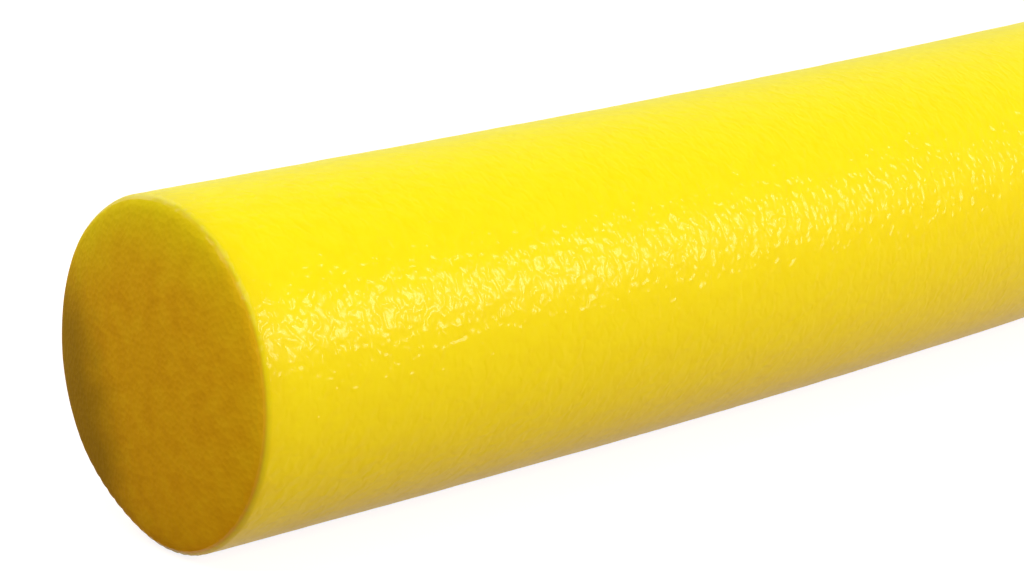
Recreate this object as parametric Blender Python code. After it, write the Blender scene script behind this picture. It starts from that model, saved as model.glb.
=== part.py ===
"""A solid foam pool noodle, lying on its side.

It is one extruded bar of expanded polyethylene with no bore. As the hot bar cools, its
outside closes into a thin dense skin, and inside it stays an even bed of closed cells.
A blade cuts it to length, so the cells show at both ends, and the cut leaves a soft
rolled edge where the skin is drawn in over the core. Lying still, it stands on a narrow
strip that its own weight and the years on a shelf have pressed flat.

The frame: the bar lies along X, +Z is up, and the origin is on the floor under its middle.
Lengths are in metres.
"""

import math

import bpy

# Driving dimensions of the bar
LENGTH = 1.600
DIAMETER = 0.070

# The skin, and the seam that keeps the two layers' faces apart
SKIN_WALL = 0.0012
SEAM_GAP = 0.0003

# The rolled edge of a cut end: how far it falls back along the bar, and how far it
# reaches over the core, inside the skin and the seam
EDGE_SETBACK = 0.0028
EDGE_REACH_OVER_CORE = 0.0042

# How deep the flat strip that it stands on is pressed into the round
RESTING_FLAT_DEPTH = 0.0005

# How far a cutter runs past what it cuts
CUTTER_OVERRUN = 0.002

# How finely round stretches are divided
FACETS_AROUND = 96
STEPS_OVER_CORE = 6
STEPS_OVER_SKIN = 5

# Colours as linear RGB
CUT_FOAM_COLOUR = (0.86, 0.50, 0.012, 1.0)
SKIN_COLOUR = (0.94, 0.68, 0.010, 1.0)

# What follows from them
RADIUS = DIAMETER / 2
SKIN_INSIDE_RADIUS = RADIUS - SKIN_WALL
CORE_RADIUS = SKIN_INSIDE_RADIUS - SEAM_GAP
FLAT_RADIUS = CORE_RADIUS - EDGE_REACH_OVER_CORE
EDGE_WIDTH = RADIUS - FLAT_RADIUS
AXIS_HEIGHT = RADIUS - RESTING_FLAT_DEPTH
RESTING_FLAT_WIDTH = 2 * math.sqrt(RADIUS**2 - AXIS_HEIGHT**2)


def clear_scene():
    for leftover in list(bpy.data.objects):
        bpy.data.objects.remove(leftover)


def plastic(name, colour, roughness):
    """A Principled material for foam plastic."""
    made = bpy.data.materials.new(name)
    made.use_nodes = True
    shader = made.node_tree.nodes["Principled BSDF"]
    shader.inputs["Base Color"].default_value = colour
    shader.inputs["Metallic"].default_value = 0
    shader.inputs["Roughness"].default_value = roughness
    made.diffuse_color = colour
    made.roughness = roughness
    return made


def edge_angle(radius):
    """The turn along the rolled edge, 0 at the flat of the cut and a right angle at the side,
    at which the edge has this radius."""
    return math.asin((radius - FLAT_RADIUS) / EDGE_WIDTH)


def edge_points(inner_radius, outer_radius, steps):
    """The rolled edge at the +X end between two radii, from the inner one out.

    It is a quarter of an ellipse, level with the cut where it starts and level with the
    side where it ends. A point is (place along the bar, distance from its axis)."""
    first = edge_angle(inner_radius)
    last = edge_angle(outer_radius)
    points = []
    for step in range(steps + 1):
        turn = first + (last - first) * step / steps
        along = LENGTH / 2 - EDGE_SETBACK * (1 - math.cos(turn))
        points.append((along, FLAT_RADIUS + EDGE_WIDTH * math.sin(turn)))
    return points


def mirrored(points):
    """The same points at the -X end, in the order that carries a profile on round the bar."""
    return [(-along, radius) for along, radius in reversed(points)]


def core_profile():
    """Half the core's long section: from the axis out over one cut end, along, and back."""
    far_edge = edge_points(FLAT_RADIUS, CORE_RADIUS, STEPS_OVER_CORE)
    return [(LENGTH / 2, 0), *far_edge, *mirrored(far_edge), (-LENGTH / 2, 0)]


def skin_profile():
    """One wall of the skin's long section: the outside with both rolled edges. The inside
    closes it, as the straight line from the last point back to the first."""
    far_edge = edge_points(SKIN_INSIDE_RADIUS, RADIUS, STEPS_OVER_SKIN)
    return [*far_edge, *mirrored(far_edge)]


def turned(name, profile, closed, material):
    """A piece made by turning a profile once round the bar's axis."""
    corners = [(along, 0, radius) for along, radius in profile]
    edges = [(corner, corner + 1) for corner in range(len(corners) - 1)]
    if closed:
        edges.append((len(corners) - 1, 0))
    mesh = bpy.data.meshes.new(name)
    mesh.from_pydata(corners, edges, [])
    mesh.materials.append(material)

    piece = bpy.data.objects.new(name, mesh)
    bpy.context.scene.collection.objects.link(piece)
    piece.location.z = AXIS_HEIGHT

    turning = piece.modifiers.new("turning", "SCREW")
    turning.axis = "X"
    turning.angle = 2 * math.pi
    turning.steps = FACETS_AROUND
    turning.render_steps = FACETS_AROUND
    turning.use_merge_vertices = True
    turning.merge_threshold = SEAM_GAP / 10
    turning.use_smooth_shade = True
    return piece


def press_flat(piece):
    """Cut a piece off level with the floor, where it would reach below it."""
    cutter_height = RESTING_FLAT_DEPTH + CUTTER_OVERRUN
    bpy.ops.mesh.primitive_cube_add(size=1, location=(0, 0, -cutter_height / 2))
    cutter = bpy.context.object
    cutter.name = "resting_flat_cutter"
    cutter.scale = (
        LENGTH + 2 * CUTTER_OVERRUN,
        RESTING_FLAT_WIDTH + 2 * CUTTER_OVERRUN,
        cutter_height,
    )
    cutter.hide_render = True
    cutter.display_type = "WIRE"

    pressing = piece.modifiers.new("resting_flat", "BOOLEAN")
    pressing.operation = "DIFFERENCE"
    pressing.solver = "EXACT"
    pressing.object = cutter


def make_foam_core():
    """The closed-cell core, solid through the middle, with a cut face at each end."""
    cut_foam = plastic("cut_foam", CUT_FOAM_COLOUR, roughness=0.85)
    return turned("foam_core", core_profile(), closed=False, material=cut_foam)


def make_outer_skin():
    """The dense skin round the core, open at both cut ends and pressed flat underneath."""
    skin = plastic("extruded_skin", SKIN_COLOUR, roughness=0.40)
    piece = turned("outer_skin", skin_profile(), closed=True, material=skin)
    press_flat(piece)
    return piece


clear_scene()
make_foam_core()
make_outer_skin()
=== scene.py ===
"""The looks of a solid foam pool noodle that lies on a pale studio floor.

The pieces follow each other as the noodle is made: the bar that leaves the extruder and is cut
to length, then its foam core, then its skin, and last the studio round it. All lengths are in
metres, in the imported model's own frame: the bar lies along X, and +Z is up.
"""

import math

import bmesh
import bpy
import numpy as np
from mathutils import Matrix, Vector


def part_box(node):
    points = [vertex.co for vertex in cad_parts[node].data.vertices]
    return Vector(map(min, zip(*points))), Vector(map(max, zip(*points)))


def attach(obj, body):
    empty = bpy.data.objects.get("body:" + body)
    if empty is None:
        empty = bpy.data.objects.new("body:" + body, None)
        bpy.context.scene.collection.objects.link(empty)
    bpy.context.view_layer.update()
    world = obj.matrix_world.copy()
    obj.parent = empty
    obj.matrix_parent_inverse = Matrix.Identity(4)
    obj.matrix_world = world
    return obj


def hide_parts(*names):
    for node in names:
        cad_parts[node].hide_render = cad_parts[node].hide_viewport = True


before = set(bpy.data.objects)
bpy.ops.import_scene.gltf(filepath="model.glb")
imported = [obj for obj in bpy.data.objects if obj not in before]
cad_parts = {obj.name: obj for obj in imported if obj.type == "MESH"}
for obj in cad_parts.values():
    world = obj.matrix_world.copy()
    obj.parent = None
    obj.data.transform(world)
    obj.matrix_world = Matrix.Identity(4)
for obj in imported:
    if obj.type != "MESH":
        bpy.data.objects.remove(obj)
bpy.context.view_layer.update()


# The bar as the saw leaves it. It is one extrusion of expanded polyethylene, foamed and
# skinned in a single pass, and a blade cuts it to length with a soft rolled edge at each
# end. The skin and the core are parted from this one body, so they meet flush.
skin_low, skin_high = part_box("outer_skin")
core_low, core_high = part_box("foam_core")
HALF_LENGTH = core_high.x
RADIUS = (skin_high.y - skin_low.y) / 2
AXIS_HEIGHT = skin_high.z - RADIUS

COLUMNS = 288
BLANK_ROLL = 0.0015
ROLL_STEPS = 12
RING_CUTS = 45
LONG_EDGE = 0.010
LEVEL = 1e-6
HOLD_STEPS = 20

# The cut is a little domed and out of square, and its edge is rolled. On one side, where the
# blade came out, it slopes away, and a darker brown is painted there as shade. Below that the
# edge is worn wider and the blade chattered. Skin colour is painted in from the rim as light,
# most of all over the top, and towards the rim the skin is painted darker and browner as shade.
CUT_RING_SHARES = (0.940, 0.924, 0.908, 0.892, 0.876, 0.860)
ROLL_WIDTH, ROLL_SETBACK = 0.0024, 0.0016
WORN_MORE, WORN_AT, WORN_SPREAD = 1.7, math.radians(-70), math.radians(28)
CHATTER_DEPTH, CHATTER_MARKS, CHATTER_UNEVEN = 0.00075, 41, 2.0
ROLL_REACH = 0.016
CUT_CROWN, RIM_CROWN = 0.0028, 0.0012
CUT_LEAN = 0.0011
SLOPE_STARTS, SLOPE_FULL = 0.0290, 0.0095
SLOPE_RISE = 0.05
SLOPE_AT = math.radians(-22)
SLOPE_SPREAD = math.radians(50)
SLOPE_WAVES = ((5, 0.9, 0.0007), (9, 2.3, 0.0004), (14, 4.1, 0.0002))
# A band of skin colour painted in over the rim of the cut as light, strongest over the top.
PAINTED_LIGHT_BAND, PAINTED_LIGHT_AT_RIM, PAINTED_LIGHT_ELSEWHERE = 0.0180, 0.60, 0.22
PAINTED_LIGHT_CENTRE, PAINTED_LIGHT_SPREAD = math.radians(78), math.radians(60)
SKIN_FROM, SKIN_OVER = 0.61, 0.27
# Painted shade on the skin beside the rim: how much skin colour it keeps, over what length, and
# how brown it is painted.
RIM_SKIN, RIM_FADE, RIM_PAINTED_SHADE = 0.70, 0.016, 0.70

UNDULATION_SIZE, UNDULATION_DEPTH = 0.013, 0.00015
LUMP_SIZE, LUMP_DEPTH = 0.0040, 0.00009
PIMPLE_SIZE, PIMPLE_DEPTH = 0.0017, 0.00006


def deselect_everything():
    """Leave no object and no active piece selected."""
    bpy.ops.object.select_all(action="DESELECT")


def pick_edges(wanted):
    """In edit mode, select only the edges whose two ends pass the test."""
    bpy.ops.mesh.select_all(action="DESELECT")
    body = bmesh.from_edit_mesh(bpy.context.object.data)
    for edge in body.edges:
        if wanted(edge.verts[0].co, edge.verts[1].co):
            edge.select_set(True)
    bmesh.update_edit_mesh(bpy.context.object.data)


def from_axis(point):
    """How far a point is from the bar's own axis."""
    return math.hypot(point.y, point.z - AXIS_HEIGHT)


def points_of(piece):
    """A mesh's points as an array of rows."""
    flat = np.empty(3 * len(piece.data.vertices), dtype=np.float32)
    piece.data.vertices.foreach_get("co", flat)
    return flat.reshape(-1, 3).astype(np.float64)


def move_points(piece, points):
    """Put a mesh's points back, moved."""
    piece.data.vertices.foreach_set("co", points.astype(np.float32).ravel())
    piece.data.update()


deselect_everything()
bpy.context.tool_settings.mesh_select_mode = (False, True, False)
bpy.ops.mesh.primitive_cylinder_add(
    vertices=COLUMNS,
    radius=RADIUS,
    depth=2 * HALF_LENGTH,
    end_fill_type="NOTHING",
    location=(0, 0, AXIS_HEIGHT),
    rotation=(0, math.pi / 2, 0),
)
bar = bpy.context.object
bar.name = "outer_skin_surface"
bpy.ops.object.transform_apply(location=True, rotation=True, scale=True)

bpy.ops.object.mode_set(mode="EDIT")
for end in (-1, 1):
    pick_edges(lambda a, b: a.x * end > 0 and b.x * end > 0)
    ring_outside = 1
    for share in CUT_RING_SHARES:
        bpy.ops.mesh.extrude_region_move(TRANSFORM_OT_translate={"value": (0, 0, 0)})
        drawn = share / ring_outside
        bpy.ops.transform.resize(value=(1, drawn, drawn), center_override=(0, 0, AXIS_HEIGHT))
        ring_outside = share
    bpy.ops.mesh.fill_grid(span=COLUMNS // 4)
pick_edges(
    lambda a, b: abs(a.x - b.x) < LEVEL and min(from_axis(a), from_axis(b)) > RADIUS - LEVEL
)
bpy.ops.mesh.bevel(offset=BLANK_ROLL, segments=ROLL_STEPS, profile=0.5, affect="EDGES")
for pass_along in range(2):
    pick_edges(lambda a, b: abs(a.x - b.x) > LONG_EDGE)
    bpy.ops.mesh.subdivide(number_cuts=RING_CUTS)
bpy.ops.mesh.select_all(action="SELECT")
bpy.ops.mesh.normals_make_consistent(inside=False)
bpy.ops.object.mode_set(mode="OBJECT")

# How far each point lies round the roll: 0 on the flat of the cut, 1 on the side
points = points_of(bar)
end_of = np.sign(points[:, 0])
back = HALF_LENGTH - np.abs(points[:, 0])
radius = np.hypot(points[:, 1], points[:, 2] - AXIS_HEIGHT)
angle = np.arctan2(points[:, 2] - AXIS_HEIGHT, points[:, 1])
flat_of_blank = RADIUS - BLANK_ROLL
roll = np.clip((radius - flat_of_blank) / BLANK_ROLL, 0, 1)
roll_marks = bar.data.attributes.new("roll", "FLOAT", "POINT")
roll_marks.data.foreach_set("value", roll.astype(np.float32))

# The cut is domed and its edge rolled, and it slopes away to one side
on_cut = back < BLANK_ROLL
off_worn = np.angle(np.exp(1j * (angle - WORN_AT)))
worn = 1 + WORN_MORE * np.exp(-((off_worn / WORN_SPREAD) ** 2))
roll_width = ROLL_WIDTH * worn
drawn_radius = np.where(
    radius < flat_of_blank,
    radius * (RADIUS - roll_width) / flat_of_blank,
    RADIUS - roll_width + roll_width * roll,
)
off_slope = np.angle(np.exp(1j * (angle - SLOPE_AT)))
sloping = np.exp(-((off_slope / SLOPE_SPREAD) ** 4))
wander = sum(depth * np.sin(count * angle + turn) for count, turn, depth in SLOPE_WAVES)
past_start = np.clip(drawn_radius - (RADIUS - SLOPE_STARTS + wander), 0, None)
easing = SLOPE_STARTS - SLOPE_FULL
slope_fall = SLOPE_RISE * sloping * np.where(
    past_start < easing, past_start**2 / (2 * easing), past_start - easing / 2
)
roll_fall = ROLL_SETBACK * worn * (1 - np.sqrt(np.clip(1 - roll**2, 0, 1)))
share_out = drawn_radius / RADIUS
crown_fall = CUT_CROWN * share_out**2 + RIM_CROWN * share_out**6
fall = roll_fall + slope_fall + crown_fall
# Painted shade: a darker brown where the cut slopes away on one side and its edge turns from the
# light.
painted_shade = np.where(on_cut, sloping * np.clip(past_start / easing, 0, 1), sloping)
# Painted light: skin colour painted in over the cut near its rim, most of all over the top.
off_top = np.angle(np.exp(1j * (angle - PAINTED_LIGHT_CENTRE)))
over_top = np.exp(-((off_top / PAINTED_LIGHT_SPREAD) ** 4))
near_rim = np.clip(1 - (RADIUS - drawn_radius) / PAINTED_LIGHT_BAND, 0, 1)
past_cut = np.clip((roll - SKIN_FROM) / SKIN_OVER, 0, 1)
# Painted shade: just beside the rim the skin keeps less skin colour and takes a painted brown.
painted_shade = np.maximum(painted_shade, RIM_PAINTED_SHADE * past_cut)
along_side = np.clip((back - BLANK_ROLL) / RIM_FADE, 0, 1)
skinned = past_cut * (RIM_SKIN + (1 - RIM_SKIN) * along_side)
painted_light_at_rim = PAINTED_LIGHT_ELSEWHERE + (PAINTED_LIGHT_AT_RIM - PAINTED_LIGHT_ELSEWHERE) * over_top
skin_painted_light_shade = np.maximum(skinned, painted_light_at_rim * near_rim * (1 - sloping))
for mark, share in (("painted_shade", painted_shade), ("skin_painted_light_shade", skin_painted_light_shade)):
    marks = bar.data.attributes.new(mark, "FLOAT", "POINT")
    marks.data.foreach_set("value", share.astype(np.float32))
at_side = np.clip(SLOPE_STARTS - wander, 0, None)
slope_at_side = SLOPE_RISE * sloping * (at_side - easing / 2)
full_fall = ROLL_SETBACK * worn + CUT_CROWN + RIM_CROWN + slope_at_side
share_along = np.clip((back - BLANK_ROLL) / (ROLL_REACH - BLANK_ROLL), 0, 1)
side_back = full_fall + (ROLL_REACH - full_fall) * share_along
side_back = np.where(back > ROLL_REACH, back, side_back)
new_back = np.where(on_cut, fall, side_back)
marks_of_blade = np.abs(np.sin(CHATTER_MARKS * angle + CHATTER_UNEVEN * np.sin(3 * angle)))
chatter = CHATTER_DEPTH * (1 - marks_of_blade) * np.exp(-((off_worn / WORN_SPREAD) ** 2))
chatter = chatter * np.where(on_cut, roll, (1 - share_along) ** 3)
new_radius = np.where(on_cut, drawn_radius, radius) - chatter
lean = CUT_LEAN * new_radius / RADIUS * np.sin(angle) * (1 - share_along)
points[:, 0] = end_of * (HALF_LENGTH - new_back) + lean
points[:, 1] = new_radius * np.cos(angle)
points[:, 2] = AXIS_HEIGHT + new_radius * np.sin(angle)
move_points(bar, points)

# The skin swells and dimples as it cools. The flat of the cut stays as it is
on_skin = bar.vertex_groups.new(name="on_skin")
steps_round_roll = np.round(roll * HOLD_STEPS).astype(int)
for step in range(1, HOLD_STEPS + 1):
    held = np.nonzero(steps_round_roll == step)[0].tolist()
    if held:
        on_skin.add(held, step / HOLD_STEPS, "REPLACE")
for name, size, depth, pattern in (
    ("undulation", UNDULATION_SIZE, UNDULATION_DEPTH, "BLENDER_ORIGINAL"),
    ("lumps", LUMP_SIZE, LUMP_DEPTH, "ORIGINAL_PERLIN"),
    ("pimples", PIMPLE_SIZE, PIMPLE_DEPTH, "IMPROVED_PERLIN"),
):
    clouds = bpy.data.textures.new(name, "CLOUDS")
    clouds.noise_basis = pattern
    clouds.noise_scale = size
    clouds.noise_depth = 1
    swelling = bar.modifiers.new(name, "DISPLACE")
    swelling.texture = clouds
    swelling.texture_coords = "LOCAL"
    swelling.mid_level = 0.5
    swelling.strength = depth
    swelling.vertex_group = "on_skin"
    bpy.ops.object.modifier_apply(modifier=name)
bar.vertex_groups.clear()

# The blade's seam: inside it is core, outside it is skin. Each is closed by its own hidden wall
SEAM_ROLL, SEAM_SLACK = 0.60, 0.05
HIDDEN_WALL_BACK = 0.0060
HIDDEN_WALL_RINGS = 63
CORE_SHRINK = 0.99
HIDDEN_EDGE = math.radians(50)


def close_inside(piece, shrink):
    """Join a piece's two open ends by a wall that runs inside it from end to end."""
    deselect_everything()
    piece.select_set(True)
    bpy.context.view_layer.objects.active = piece
    bpy.ops.object.mode_set(mode="EDIT")
    for side in (-1, 1):
        bpy.ops.mesh.select_all(action="DESELECT")
        body = bmesh.from_edit_mesh(piece.data)
        for edge in body.edges:
            if edge.is_boundary and edge.verts[0].co.x * side > 0:
                edge.select_set(True)
        bmesh.update_edit_mesh(piece.data)
        inwards = (-side * HIDDEN_WALL_BACK, 0, 0)
        bpy.ops.mesh.extrude_region_move(TRANSFORM_OT_translate={"value": inwards})
        bpy.ops.transform.resize(value=(1, shrink, shrink), center_override=(0, 0, AXIS_HEIGHT))
    bpy.ops.mesh.select_all(action="DESELECT")
    body = bmesh.from_edit_mesh(piece.data)
    for edge in body.edges:
        if edge.is_boundary:
            edge.select_set(True)
    bmesh.update_edit_mesh(piece.data)
    bpy.ops.mesh.bridge_edge_loops(number_cuts=HIDDEN_WALL_RINGS, interpolation="LINEAR")
    bpy.ops.mesh.select_all(action="SELECT")
    bpy.ops.mesh.normals_make_consistent(inside=False)
    bpy.ops.object.mode_set(mode="OBJECT")
    bpy.ops.object.shade_smooth_by_angle(angle=HIDDEN_EDGE)


# The bar bows as it is handled and lies on a strip that its weight has pressed flat
BOW, BOW_LENGTH, BOW_START = 0.0050, 0.62, 1.35
FAR_BOW, FAR_BOW_LENGTH = 0.0040, 1.05
BOW_CHANGE_FROM, BOW_CHANGE_TO = 0.42, 0.95
SLOPE_STEP = 0.001


def bow_at(along):
    """How far the bar's middle lies to the side, at a length along it from its near end."""
    change = np.clip((along - BOW_CHANGE_FROM) / (BOW_CHANGE_TO - BOW_CHANGE_FROM), 0, 1)
    change = change * change * (3 - 2 * change)
    near = BOW * np.cos(2 * np.pi * along / BOW_LENGTH + BOW_START)
    far = FAR_BOW * np.sin(2 * np.pi * (along - BOW_CHANGE_FROM) / FAR_BOW_LENGTH)
    return near * (1 - change) + far * change


def lay_down(piece):
    """Bow a piece sideways, square to its own middle line, and rest it on the floor."""
    placed = points_of(piece)
    along = placed[:, 0] + HALF_LENGTH
    slope = (bow_at(along + SLOPE_STEP) - bow_at(along - SLOPE_STEP)) / (2 * SLOPE_STEP)
    placed[:, 0] -= placed[:, 1] * slope
    placed[:, 1] += bow_at(along)
    placed[:, 2] = np.maximum(placed[:, 2], 0)
    move_points(piece, placed)


deselect_everything()
bar.select_set(True)
bpy.context.view_layer.objects.active = bar
bpy.context.tool_settings.mesh_select_mode = (False, False, True)
bpy.ops.object.mode_set(mode="EDIT")
bpy.ops.mesh.select_all(action="DESELECT")
body = bmesh.from_edit_mesh(bar.data)
roll_layer = body.verts.layers.float["roll"]
for face in body.faces:
    near_end = abs(face.verts[0].co.x) > HALF_LENGTH - ROLL_REACH
    if near_end and max(corner[roll_layer] for corner in face.verts) < SEAM_ROLL + SEAM_SLACK:
        face.select_set(True)
bmesh.update_edit_mesh(bar.data)
bpy.ops.mesh.separate(type="SELECTED")
bpy.ops.object.mode_set(mode="OBJECT")
core = [piece for piece in bpy.context.selected_objects if piece is not bar][0]
core.name = "foam_core_surface"
bpy.context.tool_settings.mesh_select_mode = (False, True, False)


# The foam core: closed-cell polyethylene with no bore, matt, and deeper orange than the skin on
# its cut faces, partly where the blade has opened its cells and partly as painted shade. It is
# solid from one cut face to the other.
# The cut's orange is deeper than the skin's, partly as painted shade on the cut faces.
CUT_COLOUR = (0.94, 0.515, 0.005, 1)
CUT_PALE = (0.97, 0.565, 0.007, 1)
CUT_DEEP = (0.89, 0.465, 0.004, 1)
# The brown of the painted shade, on one side of the cut and beside its rim.
PAINTED_SHADE_COLOUR = (0.48, 0.27, 0.003, 1)
SKIN_COLOUR = (0.97, 0.87, 0.002, 1)
SKIN_PALE = (0.98, 0.885, 0.004, 1)
SKIN_DEEP = (0.96, 0.850, 0.001, 1)

# How the tones lie: patterns per metre, where each tone sits, and how ragged each edge is
DEEP_AT, MIDDLE_AT, PALE_AT = 0.32, 0.5, 0.70
MOTTLE_PER_METRE, PATCHES_PER_METRE, TINT_PER_METRE, CELLS_PER_METRE = 260, 170, 300, 900
PAINTED_SHADE_RAGGED, PAINTED_SHADE_FULL = 0.4, 1.0
SKIN_SHARE_RAGGED, SKIN_SHARE_FULL = 0.15, 0.93

close_inside(core, CORE_SHRINK)


def face_corners(piece):
    """Each face corner's place, roll, face middle and face normal, as arrays of rows."""
    mesh = piece.data
    corner_points = np.empty(len(mesh.loops), dtype=np.int32)
    mesh.loops.foreach_get("vertex_index", corner_points)
    round_roll = np.empty(len(mesh.vertices), dtype=np.float32)
    mesh.attributes["roll"].data.foreach_get("value", round_roll)
    corners_of_face = np.empty(len(mesh.polygons), dtype=np.int32)
    mesh.polygons.foreach_get("loop_total", corners_of_face)
    middles = np.empty(3 * len(mesh.polygons), dtype=np.float32)
    mesh.polygons.foreach_get("center", middles)
    normals = np.empty(3 * len(mesh.polygons), dtype=np.float32)
    mesh.polygons.foreach_get("normal", normals)
    face_of_corner = np.repeat(np.arange(len(mesh.polygons)), corners_of_face)
    return (
        points_of(piece)[corner_points],
        round_roll[corner_points],
        middles.reshape(-1, 3)[face_of_corner],
        normals.reshape(-1, 3)[face_of_corner],
    )


def angle_round(places, middles):
    """The corners' angles round the axis, each within half a turn of its face's middle."""
    middle = np.arctan2(middles[:, 2] - AXIS_HEIGHT, middles[:, 1])
    own = np.arctan2(places[:, 2] - AXIS_HEIGHT, places[:, 1])
    aside = (own - middle + np.pi) % (2 * np.pi) - np.pi
    return middle % (2 * np.pi) + aside


def facing_out(middles, normals):
    """How far each corner's face looks away from the bar's axis, from -1 to 1."""
    y, z = middles[:, 1], middles[:, 2] - AXIS_HEIGHT
    return (normals[:, 1] * y + normals[:, 2] * z) / np.maximum(np.hypot(y, z), LEVEL)


def keep_layout(piece, across, up):
    """Give a piece its own flat layout in place of the one it was made with."""
    while piece.data.uv_layers:
        piece.data.uv_layers.remove(piece.data.uv_layers[0])
    layout = piece.data.uv_layers.new(name="OFBake")
    layout.data.foreach_set("uv", np.stack([across, up], axis=1).astype(np.float32).ravel())


# Its layout: the two cut faces side by side, and under them the hidden side in a narrow strip
CORE_SHEET = 0.150
CORE_MARGIN = 0.0020
CUT_CENTRE = 0.0370
STRIP_FROM, STRIP_HEIGHT = 0.0760, 0.0700
STRIP_FACES_OUT = 0.8

places, _, middles, normals = face_corners(core)
on_strip = facing_out(middles, normals) > STRIP_FACES_OUT
end_of_corner = np.sign(middles[:, 0])
cut_across = CORE_SHEET / 2 + end_of_corner * CUT_CENTRE + end_of_corner * places[:, 1]
cut_up = CUT_CENTRE + places[:, 2] - AXIS_HEIGHT
share_of_length = (places[:, 0] + HALF_LENGTH) / (2 * HALF_LENGTH)
strip_across = CORE_MARGIN + (CORE_SHEET - 2 * CORE_MARGIN) * share_of_length
strip_up = STRIP_FROM + STRIP_HEIGHT * angle_round(places, middles) / (2 * np.pi)
keep_layout(
    core,
    np.where(on_strip, strip_across, cut_across) / CORE_SHEET,
    np.where(on_strip, strip_up, cut_up) / CORE_SHEET,
)
lay_down(core)


def foam_material(name):
    """An empty foam material: its nodes, its shader and its Object coordinates."""
    made = bpy.data.materials.new(name)
    made.use_nodes = True
    nodes = made.node_tree.nodes
    shader = nodes["Principled BSDF"]
    place = nodes.new("ShaderNodeTexCoord")
    return made, nodes, made.node_tree.links, shader, place.outputs["Object"]


def mark_of(nodes, name):
    """The value that each point of the mesh carries under a name."""
    reader = nodes.new("ShaderNodeAttribute")
    reader.attribute_name = name
    return reader.outputs["Fac"]


def noise_at(nodes, links, place, scale, detail):
    """A soft noise over the piece."""
    noise = nodes.new("ShaderNodeTexNoise")
    noise.inputs["Scale"].default_value = scale
    noise.inputs["Detail"].default_value = detail
    links.new(place, noise.inputs["Vector"])
    return noise.outputs["Fac"]


def three_tones(nodes, links, noise, deep, middle, pale):
    """A colour that wanders between three tones with a noise."""
    tones = nodes.new("ShaderNodeValToRGB")
    tones.color_ramp.elements[0].position = DEEP_AT
    tones.color_ramp.elements[0].color = deep
    tones.color_ramp.elements[1].position = PALE_AT
    tones.color_ramp.elements[1].color = pale
    tones.color_ramp.elements.new(MIDDLE_AT).color = middle
    links.new(noise, tones.inputs["Fac"])
    return tones.outputs["Color"]


def patchy(nodes, links, share, noise, patchiness, ends):
    """A share whose edge a noise makes patchy, from none at 0 to all at `ends`."""
    uneven = nodes.new("ShaderNodeMath")
    uneven.operation = "MULTIPLY_ADD"
    uneven.inputs[1].default_value = patchiness
    links.new(noise, uneven.inputs[0])
    links.new(share, uneven.inputs[2])
    spread = nodes.new("ShaderNodeMapRange")
    spread.interpolation_type = "SMOOTHSTEP"
    spread.inputs["From Min"].default_value = patchiness / 2
    spread.inputs["From Max"].default_value = ends + patchiness / 2
    links.new(uneven.outputs["Value"], spread.inputs["Value"])
    return spread.outputs["Result"]


def mixed(nodes, links, share, first, second):
    """One colour turning into another by a share."""
    mix = nodes.new("ShaderNodeMix")
    mix.data_type = "RGBA"
    links.new(share, mix.inputs["Factor"])
    links.new(first, mix.inputs["A"])
    links.new(second, mix.inputs["B"])
    return mix.outputs["Result"]


def foam_colour(nodes, links, place):
    """Cut foam with brown painted shade, turning into skin at the side and, as painted light, at
    the top.
    """
    mottle = noise_at(nodes, links, place, MOTTLE_PER_METRE, 3)
    cut = three_tones(nodes, links, mottle, CUT_DEEP, CUT_COLOUR, CUT_PALE)
    painted_shade_tone = nodes.new("ShaderNodeRGB")
    painted_shade_tone.outputs["Color"].default_value = PAINTED_SHADE_COLOUR
    patches = noise_at(nodes, links, place, PATCHES_PER_METRE, 3)
    # Painted shade: a darker brown on one side of the cut and beside its rim.
    painted_shade_share = mark_of(nodes, "painted_shade")
    painted_shade_patches = patchy(nodes, links, painted_shade_share, patches, PAINTED_SHADE_RAGGED, PAINTED_SHADE_FULL)
    cut = mixed(nodes, links, painted_shade_patches, cut, painted_shade_tone.outputs["Color"])
    tint = noise_at(nodes, links, place, TINT_PER_METRE, 2)
    skin = three_tones(nodes, links, tint, SKIN_DEEP, SKIN_COLOUR, SKIN_PALE)
    # Skin colour, painted in over the top of the cut as light, and kept less beside the rim as
    # painted shade.
    skin_share = mark_of(nodes, "skin_painted_light_shade")
    skin_and_painted_light = patchy(nodes, links, skin_share, patches, SKIN_SHARE_RAGGED, SKIN_SHARE_FULL)
    return mixed(nodes, links, skin_and_painted_light, cut, skin)


cut_foam, nodes, links, shader, place = foam_material("cut_foam")
shader.inputs["Roughness"].default_value = 0.85
shader.inputs["Specular IOR Level"].default_value = 0.12
links.new(foam_colour(nodes, links, place), shader.inputs["Base Color"])
cells = nodes.new("ShaderNodeTexVoronoi")
cells.feature = "F1"
cells.inputs["Scale"].default_value = CELLS_PER_METRE
links.new(place, cells.inputs["Vector"])
cell_bump = nodes.new("ShaderNodeBump")
cell_bump.inputs["Strength"].default_value = 0.25
cell_bump.inputs["Distance"].default_value = 0.0004
links.new(cells.outputs["Distance"], cell_bump.inputs["Height"])
links.new(cell_bump.outputs["Normal"], shader.inputs["Normal"])
core.data.materials.clear()
core.data.materials.append(cut_foam)

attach(core, "root")
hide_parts("foam_core")


# The outer skin: the cells that met cold air and closed into a thin dense film. It is satin
# lemon yellow and finely dimpled. Its colour runs round the rolled rim of each cut, and is
# painted further in over the cut as light, most of all over the top.
close_inside(bar, 1.0)

# Its dimples are a little shorter along the bar. They lie deeper in the film than in the foam
DIMPLES_PER_METRE = 450
DIMPLES_SHORT_ALONG = 1.2
FOAM_DIMPLE_DEPTH, FILM_DIMPLE_DEPTH = 0.00008, 0.0006

# Its layout: the outside in three lengths one above the other, and the hidden wall over them
SKIN_SHEET = 0.712
SKIN_MARGIN = 0.0040
SKIN_ROWS, ROW_GAP = 3, 0.0060
HIDDEN_ROW = 0.0120

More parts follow.
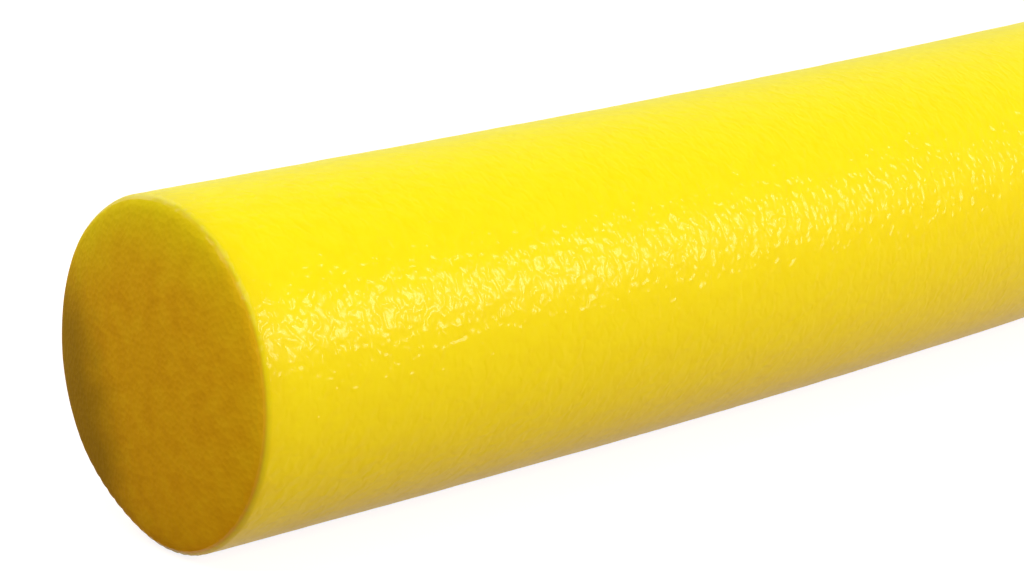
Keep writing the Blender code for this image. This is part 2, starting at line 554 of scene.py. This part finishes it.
places, round_roll, middles, normals = face_corners(bar)
hidden = facing_out(middles, normals) < 0
row_length = 2 * HALF_LENGTH / SKIN_ROWS
row_height = 2 * math.pi * RADIUS + ROW_GAP
row = np.clip(np.floor((middles[:, 0] + HALF_LENGTH) / row_length), 0, SKIN_ROWS - 1)
round_bar = angle_round(places, middles)
path = places[:, 0] + np.sign(middles[:, 0]) * ROLL_WIDTH * (1 - round_roll)
out_across = path + HALF_LENGTH - row * row_length
out_up = row * row_height + round_bar * RADIUS
hidden_across = (places[:, 0] + HALF_LENGTH) / SKIN_ROWS
hidden_up = SKIN_ROWS * row_height + HIDDEN_ROW * round_bar / (2 * np.pi)
keep_layout(
    bar,
    (np.where(hidden, hidden_across, out_across) + SKIN_MARGIN) / SKIN_SHEET,
    (np.where(hidden, hidden_up, out_up) + SKIN_MARGIN) / SKIN_SHEET,
)
lay_down(bar)

extruded_skin, nodes, links, shader, place = foam_material("extruded_skin")
shader.inputs["Roughness"].default_value = 0.40
shader.inputs["Specular IOR Level"].default_value = 0.05
shader.inputs["Coat Weight"].default_value = 0.14
shader.inputs["Coat Roughness"].default_value = 0.22
shader.inputs["Coat IOR"].default_value = 1.8
links.new(foam_colour(nodes, links, place), shader.inputs["Base Color"])
squeezed = nodes.new("ShaderNodeMapping")
squeezed.inputs["Scale"].default_value = (DIMPLES_SHORT_ALONG, 1, 1)
links.new(place, squeezed.inputs["Vector"])
dimples = nodes.new("ShaderNodeTexNoise")
dimples.inputs["Scale"].default_value = DIMPLES_PER_METRE
dimples.inputs["Detail"].default_value = 0
dimples.inputs["Distortion"].default_value = 0.6
links.new(squeezed.outputs["Vector"], dimples.inputs["Vector"])
skin_bump = nodes.new("ShaderNodeBump")
skin_bump.inputs["Strength"].default_value = 1.0
skin_bump.inputs["Distance"].default_value = FOAM_DIMPLE_DEPTH
links.new(dimples.outputs["Fac"], skin_bump.inputs["Height"])
links.new(skin_bump.outputs["Normal"], shader.inputs["Normal"])
film_bump = nodes.new("ShaderNodeBump")
film_bump.inputs["Strength"].default_value = 1.0
film_bump.inputs["Distance"].default_value = FILM_DIMPLE_DEPTH
links.new(dimples.outputs["Fac"], film_bump.inputs["Height"])
links.new(film_bump.outputs["Normal"], shader.inputs["Coat Normal"])
bar.data.materials.clear()
bar.data.materials.append(extruded_skin)

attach(bar, "root")
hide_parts("outer_skin")


# The studio floor: a plain sheet that runs out of view on every side. Its own colour is tan,
# and a glow makes it as white as the backdrop to the camera. It still takes the soft shadow.
FLOOR_SIZE = 40
FLOOR_DROP = 0.0002
FLOOR_COLOUR = (0.45, 0.34, 0.24, 1)
FLOOR_GLOW, FLOOR_TINT = 0.90, (0.98, 0.98, 1.0, 1)

deselect_everything()
bpy.ops.mesh.primitive_plane_add(size=FLOOR_SIZE, location=(0, 0, -FLOOR_DROP))
floor = bpy.context.object
floor.name = "studio_floor"


def seen_plainly(nodes, links):
    """1 where a thing is seen by the camera, in a shiny surface or through a clear one."""
    rays = nodes.new("ShaderNodeLightPath")
    seen = rays.outputs["Is Camera Ray"]
    for kind in ("Is Glossy Ray", "Is Transmission Ray"):
        either = nodes.new("ShaderNodeMath")
        either.operation = "MAXIMUM"
        links.new(seen, either.inputs[0])
        links.new(rays.outputs[kind], either.inputs[1])
        seen = either.outputs["Value"]
    return seen


pale = bpy.data.materials.new("pale_floor")
pale.use_nodes = True
nodes, links = pale.node_tree.nodes, pale.node_tree.links
nodes.clear()
paper = nodes.new("ShaderNodeBsdfDiffuse")
paper.inputs["Color"].default_value = FLOOR_COLOUR
glow = nodes.new("ShaderNodeEmission")
glow.inputs["Color"].default_value = FLOOR_TINT
level = nodes.new("ShaderNodeMath")
level.operation = "MULTIPLY"
level.inputs[1].default_value = FLOOR_GLOW
links.new(seen_plainly(nodes, links), level.inputs[0])
links.new(level.outputs["Value"], glow.inputs["Strength"])
both = nodes.new("ShaderNodeAddShader")
links.new(paper.outputs["BSDF"], both.inputs[0])
links.new(glow.outputs["Emission"], both.inputs[1])
surface = nodes.new("ShaderNodeOutputMaterial")
links.new(both.outputs["Shader"], surface.inputs["Surface"])
floor.data.materials.append(pale)


# The studio light: five softboxes round the bar, one of them smaller, to the right of the
# camera, where its reflection breaks up on the skin. A low one stands for the light that the
# yellow bar throws back on itself. The room round them is dim, and white to the camera.
NEAR_END = (-HALF_LENGTH, 0, AXIS_HEIGHT)
WINDOW_FROM, WINDOW_DISTANCE, WINDOW_SIZE, WINDOW_LEVEL = (0.53, -0.75, 0.40), 2.6, 0.7, 0.49
WINDOW_COLOUR = (1.0, 0.87, 0.76)
KEY_FROM, KEY_DISTANCE, KEY_SIZE, KEY_LEVEL = (-0.30, -0.60, 0.74), 2.4, 1.5, 0.32
TOP_FROM, TOP_DISTANCE, TOP_SIZE, TOP_LEVEL = (-0.35, 0, 0.94), 2.4, 1.5, 0.45
SKY_COLOUR = (0.95, 0.965, 0.88)
BACK_FROM, BACK_DISTANCE, BACK_SIZE, BACK_LEVEL = (0.1, 0.8, 0.6), 2.4, 1.8, 0.42
BACK_COLOUR = (1.0, 0.94, 0.94)
LOW_FROM, LOW_DISTANCE, LOW_SIZE, LOW_LEVEL = (0.3, -0.93, 0.2), 2.4, 1.5, 0.13
LOW_COLOUR = (1.0, 0.46, 0.26)
ROOM_COLOUR, ROOM_LEVEL = (1.0, 0.90, 0.80, 1), 0.02


def softbox(name, direction, distance, size, level, colour):
    """A square area light that lights the near end of the bar to a level, 1 being full."""
    lamp_data = bpy.data.lights.new(name, "AREA")
    lamp_data.shape = "SQUARE"
    lamp_data.size = size
    lamp_data.color = colour
    lamp_data.energy = level * math.pi**2 * distance**2
    lamp = bpy.data.objects.new(name, lamp_data)
    bpy.context.scene.collection.objects.link(lamp)
    long = math.sqrt(sum(part * part for part in direction))
    lamp.location = [at + part / long * distance for at, part in zip(NEAR_END, direction)]
    across = math.hypot(direction[0], direction[1])
    lamp.rotation_euler = (
        math.atan2(across, direction[2]),
        0,
        math.atan2(direction[0], -direction[1]),
    )
    return lamp


softbox("window_softbox", WINDOW_FROM, WINDOW_DISTANCE, WINDOW_SIZE, WINDOW_LEVEL, WINDOW_COLOUR)
softbox("key_softbox", KEY_FROM, KEY_DISTANCE, KEY_SIZE, KEY_LEVEL, SKY_COLOUR)
softbox("top_softbox", TOP_FROM, TOP_DISTANCE, TOP_SIZE, TOP_LEVEL, SKY_COLOUR)
softbox("back_softbox", BACK_FROM, BACK_DISTANCE, BACK_SIZE, BACK_LEVEL, BACK_COLOUR)
softbox("low_softbox", LOW_FROM, LOW_DISTANCE, LOW_SIZE, LOW_LEVEL, LOW_COLOUR)

world = bpy.data.worlds.new("pale_room")
bpy.context.scene.world = world
world.use_nodes = True
nodes, links = world.node_tree.nodes, world.node_tree.links
nodes.clear()
room = nodes.new("ShaderNodeBackground")
room.inputs["Color"].default_value = ROOM_COLOUR
room.inputs["Strength"].default_value = ROOM_LEVEL
backdrop = nodes.new("ShaderNodeBackground")
choice = nodes.new("ShaderNodeMixShader")
links.new(seen_plainly(nodes, links), choice.inputs["Fac"])
links.new(room.outputs["Background"], choice.inputs[1])
links.new(backdrop.outputs["Background"], choice.inputs[2])
sky = nodes.new("ShaderNodeOutputWorld")
links.new(choice.outputs["Shader"], sky.inputs["Surface"])


# The camera: a long lens close to the near end, turned along the bar so that it runs out of
# the picture at the right.
CAMERA_FROM_END = (-0.3384, -0.4559, 0.1699)
CAMERA_PITCH = math.radians(15.00)
BAR_HEADING = math.radians(46.34)
LENS = 109.27

camera_data = bpy.data.cameras.new("camera")
camera_data.lens = LENS
camera_data.clip_start = 0.05
camera_data.clip_end = 60
camera = bpy.data.objects.new("camera", camera_data)
bpy.context.scene.collection.objects.link(camera)
camera.location = [at + step for at, step in zip(NEAR_END, CAMERA_FROM_END)]
camera.rotation_euler = (math.pi / 2 - CAMERA_PITCH, 0, BAR_HEADING - math.pi / 2)
bpy.context.scene.camera = camera

bpy.context.scene.view_settings.view_transform = "Standard"
